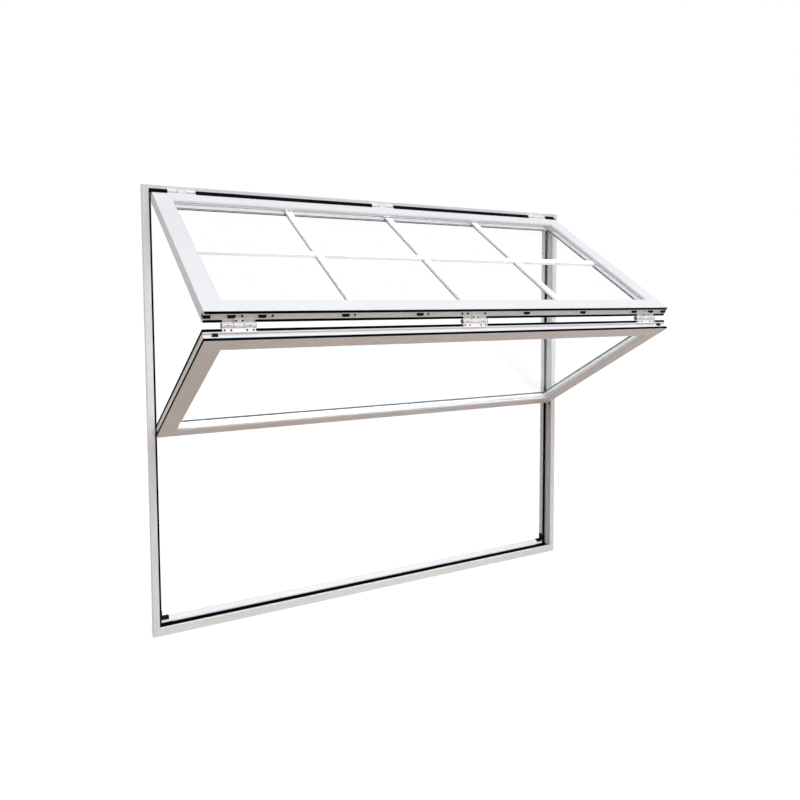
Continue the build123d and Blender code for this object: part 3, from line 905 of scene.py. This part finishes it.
@dataclass
class HingeScrews:
    """Raised screws with star recesses in the hinge leaves, and the seams of the fold knuckles."""

    sizes: WindowSizes
    linkage: Linkage
    screw_spacing: float = 0.021
    leaf_thickness: float = 0.003
    knuckle_length: float = 0.036
    upper_leaf_width: float = 0.017
    lower_leaf_width: float = 0.014
    top_leaf_width: float = 0.026
    top_leaf_setback: float = 0.002
    fold_knuckle_radius: float = 0.009
    seam_width: float = 0.0011
    seam_end: float = 0.004
    grub_size: float = 0.0042
    head_radius: float = 0.0034
    head_rise: float = 0.0007
    rim_share: float = 0.25
    dome_share: float = 0.35
    recess_depth: float = 0.0005
    star_share: float = 0.62
    star_step: int = 4
    segments: int = 24

    def screw(self, mesh: bmesh.types.BMesh, seat: Vector, upward: bool) -> None:
        """Add one screw head on a leaf.

        Args:
            mesh: Where the screw goes.
            seat: Middle of the head on the leaf's face.
            upward: Whether the leaf's face looks up in the closed window.
        """
        others = set(mesh.verts)
        made = bmesh.ops.create_circle(mesh, cap_ends=True, segments=self.segments, radius=self.head_radius)
        face = made["verts"][0].link_faces[0]
        top = extrude(mesh, [face], Vector((0.0, 0.0, self.head_rise)))[0]
        rim = self.head_radius * self.rim_share
        dome = self.head_rise * self.dome_share
        bmesh.ops.inset_region(mesh, faces=[top], thickness=rim, depth=dome)
        bmesh.ops.inset_region(mesh, faces=[top], thickness=rim)
        hub = top.calc_center_median()
        for count, vert in enumerate(top.verts):
            if count % self.star_step >= self.star_step // 2:
                vert.co = hub + (vert.co - hub) * self.star_share
        sunk = bmesh.ops.extrude_face_region(mesh, geom=[top])["geom"]
        floor = [part for part in sunk if isinstance(part, bmesh.types.BMVert)]
        bmesh.ops.translate(mesh, vec=(0.0, 0.0, -self.recess_depth), verts=floor)
        bmesh.ops.delete(mesh, geom=[top], context="FACES_ONLY")
        verts = [vert for vert in mesh.verts if vert not in others]
        turn = Matrix.Rotation(0.0 if upward else pi, 4, "X")
        bmesh.ops.transform(mesh, matrix=Matrix.Translation(seat) @ turn, verts=verts)

    def row(
        self,
        name: str,
        plate_centres: list[float],
        depth: float,
        height: float,
        upward: bool,
        pose: Matrix,
        finishes: Finishes,
    ) -> None:
        """Build the screws of one row of hinge leaves.

        Args:
            name: Name of the piece.
            plate_centres: Middles of the plates along the window.
            depth: Depth of the screws in the closed window.
            height: Height of the leaves' face in the closed window.
            upward: Whether that face looks up.
            pose: Pose of what the leaves are screwed to.
            finishes: The window's materials.
        """
        mesh = bmesh.new()
        for centre in plate_centres:
            for side in (-1, 1):
                self.screw(mesh, Vector((centre + side * self.screw_spacing / 2, depth, height)), upward)
        finishes.add_piece(name, mesh, Slot.BLACK_PLASTIC, pose)

    def seams(self, places: list[float], finishes: Finishes) -> None:
        """Build the rolled seam and the grub screw on the outward side of each outer fold knuckle.

        Args:
            places: Middles of the knuckles along the window.
            finishes: The window's materials.
        """
        axis = self.linkage.lower_pose() @ self.linkage.fold_axis
        reach = self.knuckle_length / 2 - self.seam_end
        mesh = bmesh.new()
        for place in places:
            for half, width in ((reach, self.seam_width), (self.grub_size / 2, self.grub_size)):
                start = Vector((place - half, axis.z))
                end = Vector((place + half, axis.z))
                cut = JointLines(self.sizes, width=width)
                cut.line(mesh, start, end, axis.y - self.fold_knuckle_radius, -1)
        finishes.add_piece("fold_knuckle_seams", mesh, Slot.STEEL_PINS, Matrix.Identity(4))

    def build(self, finishes: Finishes) -> None:
        """Build the screws of all hinge leaves and the seams.

        Args:
            finishes: The window's materials.
        """
        centres = [-self.sizes.hinge_offset, 0.0, self.sizes.hinge_offset]
        outer = [centre + side * self.knuckle_length for centre in centres for side in (-1, 1)]
        upper_pose = self.linkage.upper_pose()
        lower_pose = self.linkage.lower_pose()
        above = self.sizes.bottom(SashName.UPPER) - self.leaf_thickness
        below = self.sizes.top(SashName.LOWER) + self.leaf_thickness
        upper_depth = self.sizes.sash_back - self.upper_leaf_width / 2
        lower_depth = self.sizes.sash_back - self.lower_leaf_width / 2
        self.row("upper_fold_screws", centres, upper_depth, above, False, upper_pose, finishes)
        self.row("lower_fold_screws", outer, lower_depth, below, True, lower_pose, finishes)
        top_depth = self.sizes.frame_front + self.top_leaf_setback + self.top_leaf_width / 2
        head = self.sizes.frame_height - self.sizes.head_lip - self.leaf_thickness
        self.row("head_hinge_screws", outer, top_depth, head, False, Matrix.Identity(4), finishes)
        sash_top = self.sizes.top(SashName.UPPER) + self.leaf_thickness
        self.row("sash_hinge_screws", outer, top_depth, sash_top, True, upper_pose, finishes)
        self.seams(outer, finishes)


@dataclass
class EdgePlugs:
    """Black caps, plugs and end stops in the fold edges, and white covers in the lower stiles."""

    sizes: WindowSizes
    linkage: Linkage
    upper_insets: tuple[float, ...] = (0.090, 0.190, 0.4825, 0.775)
    lower_insets: tuple[float, ...] = (0.038,)
    upper_slot_length: float = 0.027
    lower_slot_length: float = 0.020
    slot_width: float = 0.013
    pilot_offset: float = 0.034
    pilot_plug: float = 0.0065
    fit: float = 0.0002
    below_edge: float = 0.0006
    cap_sink: float = 0.0030
    cap_bevel: float = 0.05
    cap_dome: float = 0.03
    cap_rim: float = 0.13
    cap_step: float = 0.02
    cap_dish: float = 0.09
    end_length: float = 0.024
    end_wrap: float = 0.0010
    end_height: float = 0.015
    cover_gap: float = 0.030
    middle_plugs: tuple[float, ...] = (-0.061, -0.036, 0.043)
    rounding: float = 0.0008
    segments: int = 32

    def cap(
        self,
        mesh: bmesh.types.BMesh,
        length: float,
        width: float,
        place: float,
        edge: float,
        outward: float,
    ) -> None:
        """Add one oval or round cap, which fills the groove up to the sash's edge.

        Args:
            mesh: Where the cap goes.
            length: Length of the cap along the window.
            width: Width of the cap.
            place: Middle of the cap along the window.
            edge: Height of the sash's edge in the closed window.
            outward: 1 where the edge looks up, -1 where it looks down.
        """
        others = set(mesh.verts)
        radius = width / 2 - self.fit
        floor = edge - outward * self.sizes.groove_depth
        rise = self.sizes.groove_depth - self.below_edge
        half_step = Matrix.Rotation(pi / self.segments, 4, "Z")
        made = bmesh.ops.create_circle(
            mesh, cap_ends=True, segments=self.segments, radius=radius, matrix=half_step
        )
        stretch = (length - width) / 2
        for side in (-1, 1):
            end = [vert for vert in made["verts"] if vert.co.x * side > 0]
            bmesh.ops.translate(mesh, vec=(side * stretch, 0.0, 0.0), verts=end)
        face = made["verts"][0].link_faces[0]
        top = extrude(mesh, [face], Vector((0.0, 0.0, rise + self.cap_sink)))[0]
        rings = ((self.cap_bevel, self.cap_dome), (self.cap_rim, 0.0), (self.cap_step, -self.cap_dish))
        for thickness, depth in rings:
            bmesh.ops.inset_region(mesh, faces=[top], thickness=width * thickness, depth=width * depth)
        verts = [vert for vert in mesh.verts if vert not in others]
        turn = Matrix.Rotation(0.0 if outward > 0 else pi, 4, "X")
        seat = Vector((place, self.sizes.groove_centre, floor - outward * self.cap_sink))
        bmesh.ops.transform(mesh, matrix=Matrix.Translation(seat) @ turn, verts=verts)

    def build(self, finishes: Finishes) -> None:
        """Build the caps and plugs of both fold edges, the end stops and the stile covers.

        Args:
            finishes: The window's materials.
        """
        upper_edge = self.sizes.bottom(SashName.UPPER)
        lower_edge = self.sizes.top(SashName.LOWER)
        edges = (
            (SashName.UPPER, self.upper_insets, self.upper_slot_length, upper_edge, -1),
            (SashName.LOWER, self.lower_insets, self.lower_slot_length, lower_edge, 1),
        )
        for sash, insets, length, edge, outward in edges:
            mesh = bmesh.new()
            for inset in insets:
                for side in (-1, 1):
                    place = side * (self.sizes.sash_half_width - inset)
                    self.cap(mesh, length, self.slot_width, place, edge, outward)
            finishes.add_piece(f"{sash.value}_slot_caps", mesh, Slot.BLACK_PLASTIC, self.linkage.pose(sash))
        plugs = bmesh.new()
        places = [inset + self.pilot_offset - self.sizes.sash_half_width for inset in self.upper_insets]
        for place in (*places, *self.middle_plugs):
            self.cap(plugs, self.pilot_plug, self.pilot_plug, place, upper_edge, -1)
        finishes.add_piece("pilot_plugs", plugs, Slot.BLACK_PLASTIC, self.linkage.upper_pose())
        self.end_stops(finishes)
        self.covers(finishes)

    def end_stops(self, finishes: Finishes) -> None:
        """Build the stops in the ends of the upper groove, which wrap the sash's corners.

        Args:
            finishes: The window's materials.
        """
        mesh = bmesh.new()
        half = self.sizes.groove_width / 2 - self.fit
        front = self.sizes.groove_centre - half
        back = self.sizes.groove_centre + half
        edge = self.sizes.sash_half_width
        low = self.sizes.bottom(SashName.UPPER)
        for side in (-1, 1):
            tip = Vector((side * (edge + self.end_wrap), front, low + self.fit))
            root = Vector((side * (edge - self.end_length), back, low + self.sizes.groove_depth))
            face = Vector((side * edge, back, low + self.end_height))
            add_block(mesh, tip, root, self.rounding)
            add_block(mesh, tip, face, self.rounding / 2)
        finishes.add_piece("groove_end_plugs", mesh, Slot.BLACK_PLASTIC, self.linkage.upper_pose())

    def covers(self, finishes: Finishes) -> None:
        """Build the cover strips in the grooves of the lower sash's stiles.

        Args:
            finishes: The window's materials.
        """
        mesh = bmesh.new()
        half = self.sizes.groove_width / 2 - self.fit
        low = self.sizes.bottom(SashName.LOWER) + self.cover_gap
        high = self.sizes.top(SashName.LOWER) - self.sizes.groove_depth - self.fit
        edge = self.sizes.sash_half_width
        for side in (-1, 1):
            tip = Vector((side * (edge - self.below_edge), self.sizes.groove_centre - half, low))
            root = Vector(
                (side * (edge - self.sizes.groove_depth), self.sizes.groove_centre + half, high)
            )
            add_block(mesh, tip, root, self.rounding)
        finishes.add_piece("lower_stile_covers", mesh, Slot.WHITE_COAT, self.linkage.lower_pose())


@dataclass(frozen=True)
class SoftBox:
    """A rectangular lamp, which the camera doesn't see."""

    name: str
    place: Vector
    target: Vector
    size: tuple[float, float]
    power: float

    def light(self) -> bpy.types.Light:
        """Make the box's light.

        Returns:
            The light.
        """
        light = bpy.data.lights.new(self.name, "AREA")
        light.shape = "RECTANGLE"
        light.size, light.size_y = self.size
        light.energy = self.power
        return light


@dataclass
class Studio:
    """The floor, the light and the camera."""

    floor_size: float = 120.0
    floor_cells: int = 4
    floor_seen: Color = (0.40, 0.40, 0.40)
    floor_bounce: Color = (0.405, 0.304, 0.238)
    floor_glow: float = 0.72
    sky: float = 0.28
    sky_tint: Color = (0.94, 0.97, 1.04)
    key_tint: Color = (0.98, 0.99, 1.02)
    key_strength: float = 2.24
    key_softness: float = radians(50.0)
    key_direction: Vector = Vector((0.05, -0.53, 0.847))
    key_distance: float = 6.0
    boxes: tuple[SoftBox, ...] = (
        SoftBox("front_box", Vector((0.2, -2.4, 1.3)), Vector((0.2, -0.4, 1.0)), (2.2, 0.8), 8.0),
        SoftBox("side_box", Vector((-2.5, -0.12, 1.3)), Vector((-1.0, -0.4, 1.3)), (0.6, 1.2), 5.0),
    )
    camera_place: Vector = Vector((-1.58455, -2.94299, 1.32719))
    camera_right: Vector = Vector((0.87681074, -0.48080803, -0.0051539))
    camera_up: Vector = Vector((0.03574415, 0.05448725, 0.99787449))
    sensor: float = 36.0
    lens: float = 32.362
    shift: tuple[float, float] = (0.0204, -0.0593)
    clip_end: float = 200.0

    def build(self) -> None:
        """Build everything round the window."""
        self.floor()
        self.light()
        self.camera()
        bpy.context.scene.view_settings.view_transform = "Standard"

    def seen(self, tree: bpy.types.NodeTree) -> bpy.types.NodeSocket:
        """Factor that is 1 for rays from the camera, mirror rays and rays through glass.

        Args:
            tree: Node tree to add to.

        Returns:
            The factor.
        """
        path = tree.nodes.new("ShaderNodeLightPath")
        total = path.outputs["Is Camera Ray"]
        for name in ("Is Glossy Ray", "Is Transmission Ray"):
            either = tree.nodes.new("ShaderNodeMath")
            either.operation = "MAXIMUM"
            tree.links.new(total, either.inputs[0])
            tree.links.new(path.outputs[name], either.inputs[1])
            total = either.outputs["Value"]
        return total

    def floor(self) -> None:
        """Build the pale floor, which shows white and keeps a soft shadow."""
        mesh = bmesh.new()
        cells = self.floor_cells
        bmesh.ops.create_grid(mesh, x_segments=cells, y_segments=cells, size=self.floor_size / 2)
        data = bpy.data.meshes.new("floor")
        mesh.to_mesh(data)
        mesh.free()
        material = bpy.data.materials.new("pale_floor")
        material.use_nodes = True
        tree = material.node_tree
        tree.nodes.remove(tree.nodes["Principled BSDF"])
        matte = tree.nodes.new("ShaderNodeBsdfDiffuse")
        seen = self.seen(tree)
        tone = tree.nodes.new("ShaderNodeMixRGB")
        tone.inputs["Color1"].default_value = (*self.floor_bounce, 1.0)
        tone.inputs["Color2"].default_value = (*self.floor_seen, 1.0)
        tree.links.new(seen, tone.inputs["Fac"])
        tree.links.new(tone.outputs["Color"], matte.inputs["Color"])
        glow = tree.nodes.new("ShaderNodeEmission")
        both = tree.nodes.new("ShaderNodeAddShader")
        tree.links.new(seen, glow.inputs["Strength"])
        glow.inputs["Color"].default_value = (self.floor_glow, self.floor_glow, self.floor_glow, 1.0)
        tree.links.new(matte.outputs["BSDF"], both.inputs[0])
        tree.links.new(glow.outputs["Emission"], both.inputs[1])
        tree.links.new(both.outputs["Shader"], tree.nodes["Material Output"].inputs["Surface"])
        data.materials.append(material)
        floor = bpy.data.objects.new("floor", data)
        bpy.context.scene.collection.objects.link(floor)

    def light(self) -> None:
        """Build the sky, white where it is seen, the broad key lamp and the soft boxes."""
        world = bpy.data.worlds.new("white_sky")
        world.use_nodes = True
        bpy.context.scene.world = world
        tree = world.node_tree
        sky = tree.nodes["Background"]
        level = tree.nodes.new("ShaderNodeMixRGB")
        level.inputs["Color1"].default_value = (*(self.sky * part for part in self.sky_tint), 1.0)
        level.inputs["Color2"].default_value = (1.0, 1.0, 1.0, 1.0)
        tree.links.new(self.seen(tree), level.inputs["Fac"])
        tree.links.new(level.outputs["Color"], sky.inputs["Color"])
        key = bpy.data.lights.new("key_lamp", "SUN")
        key.energy = self.key_strength
        key.angle = self.key_softness
        self.hang(key, self.key_direction * self.key_distance, Vector((0.0, 0.0, 0.0)))
        for box in self.boxes:
            lamp = self.hang(box.light(), box.place, box.target)
            lamp.visible_camera = False
            lamp.visible_transmission = False

    def hang(self, light: bpy.types.Light, place: Vector, target: Vector) -> bpy.types.Object:
        """Hang a lamp and point it at its target.

        Args:
            light: The lamp's light.
            place: Where it hangs.
            target: Where it points.

        Returns:
            The lamp.
        """
        light.color = self.key_tint
        lamp = bpy.data.objects.new(light.name, light)
        lamp.location = place
        lamp.rotation_mode = "QUATERNION"
        lamp.rotation_quaternion = (target - place).to_track_quat("-Z", "Y")
        bpy.context.scene.collection.objects.link(lamp)
        return lamp

    def camera(self) -> None:
        """Build the camera at the photograph's viewpoint."""
        data = bpy.data.cameras.new("camera")
        data.sensor_width = self.sensor
        data.lens = self.lens
        data.shift_x, data.shift_y = self.shift
        data.clip_end = self.clip_end
        camera = bpy.data.objects.new("camera", data)
        backward = self.camera_right.cross(self.camera_up)
        turn = Matrix((self.camera_right, self.camera_up, backward)).transposed()
        camera.matrix_world = Matrix.Translation(self.camera_place) @ turn.to_4x4()
        bpy.context.scene.collection.objects.link(camera)
        bpy.context.scene.camera = camera


def main() -> None:
    """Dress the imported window, add its small pieces and set the studio round it."""
    logging.basicConfig(level=logging.INFO, format="%(message)s")
    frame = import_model()
    sizes = WindowSizes()
    linkage = Linkage()
    finishes = Finishes()
    finishes.dress_nodes(frame)
    GlazingBars(sizes, linkage.upper_pose()).build(finishes)
    joints = JointLines(sizes)
    joints.frame(finishes)
    for sash in SashName:
        GlazingGaskets(sizes, sash, linkage.pose(sash)).build(finishes)
        joints.sash(sash, linkage.pose(sash), finishes)
    HeadFlap(sizes, linkage).build(finishes)
    SillTrim(sizes).build(finishes)
    HingeScrews(sizes, linkage).build(finishes)
    EdgePlugs(sizes, linkage).build(finishes)
    Studio().build()


if __name__ == "__main__":
    main()
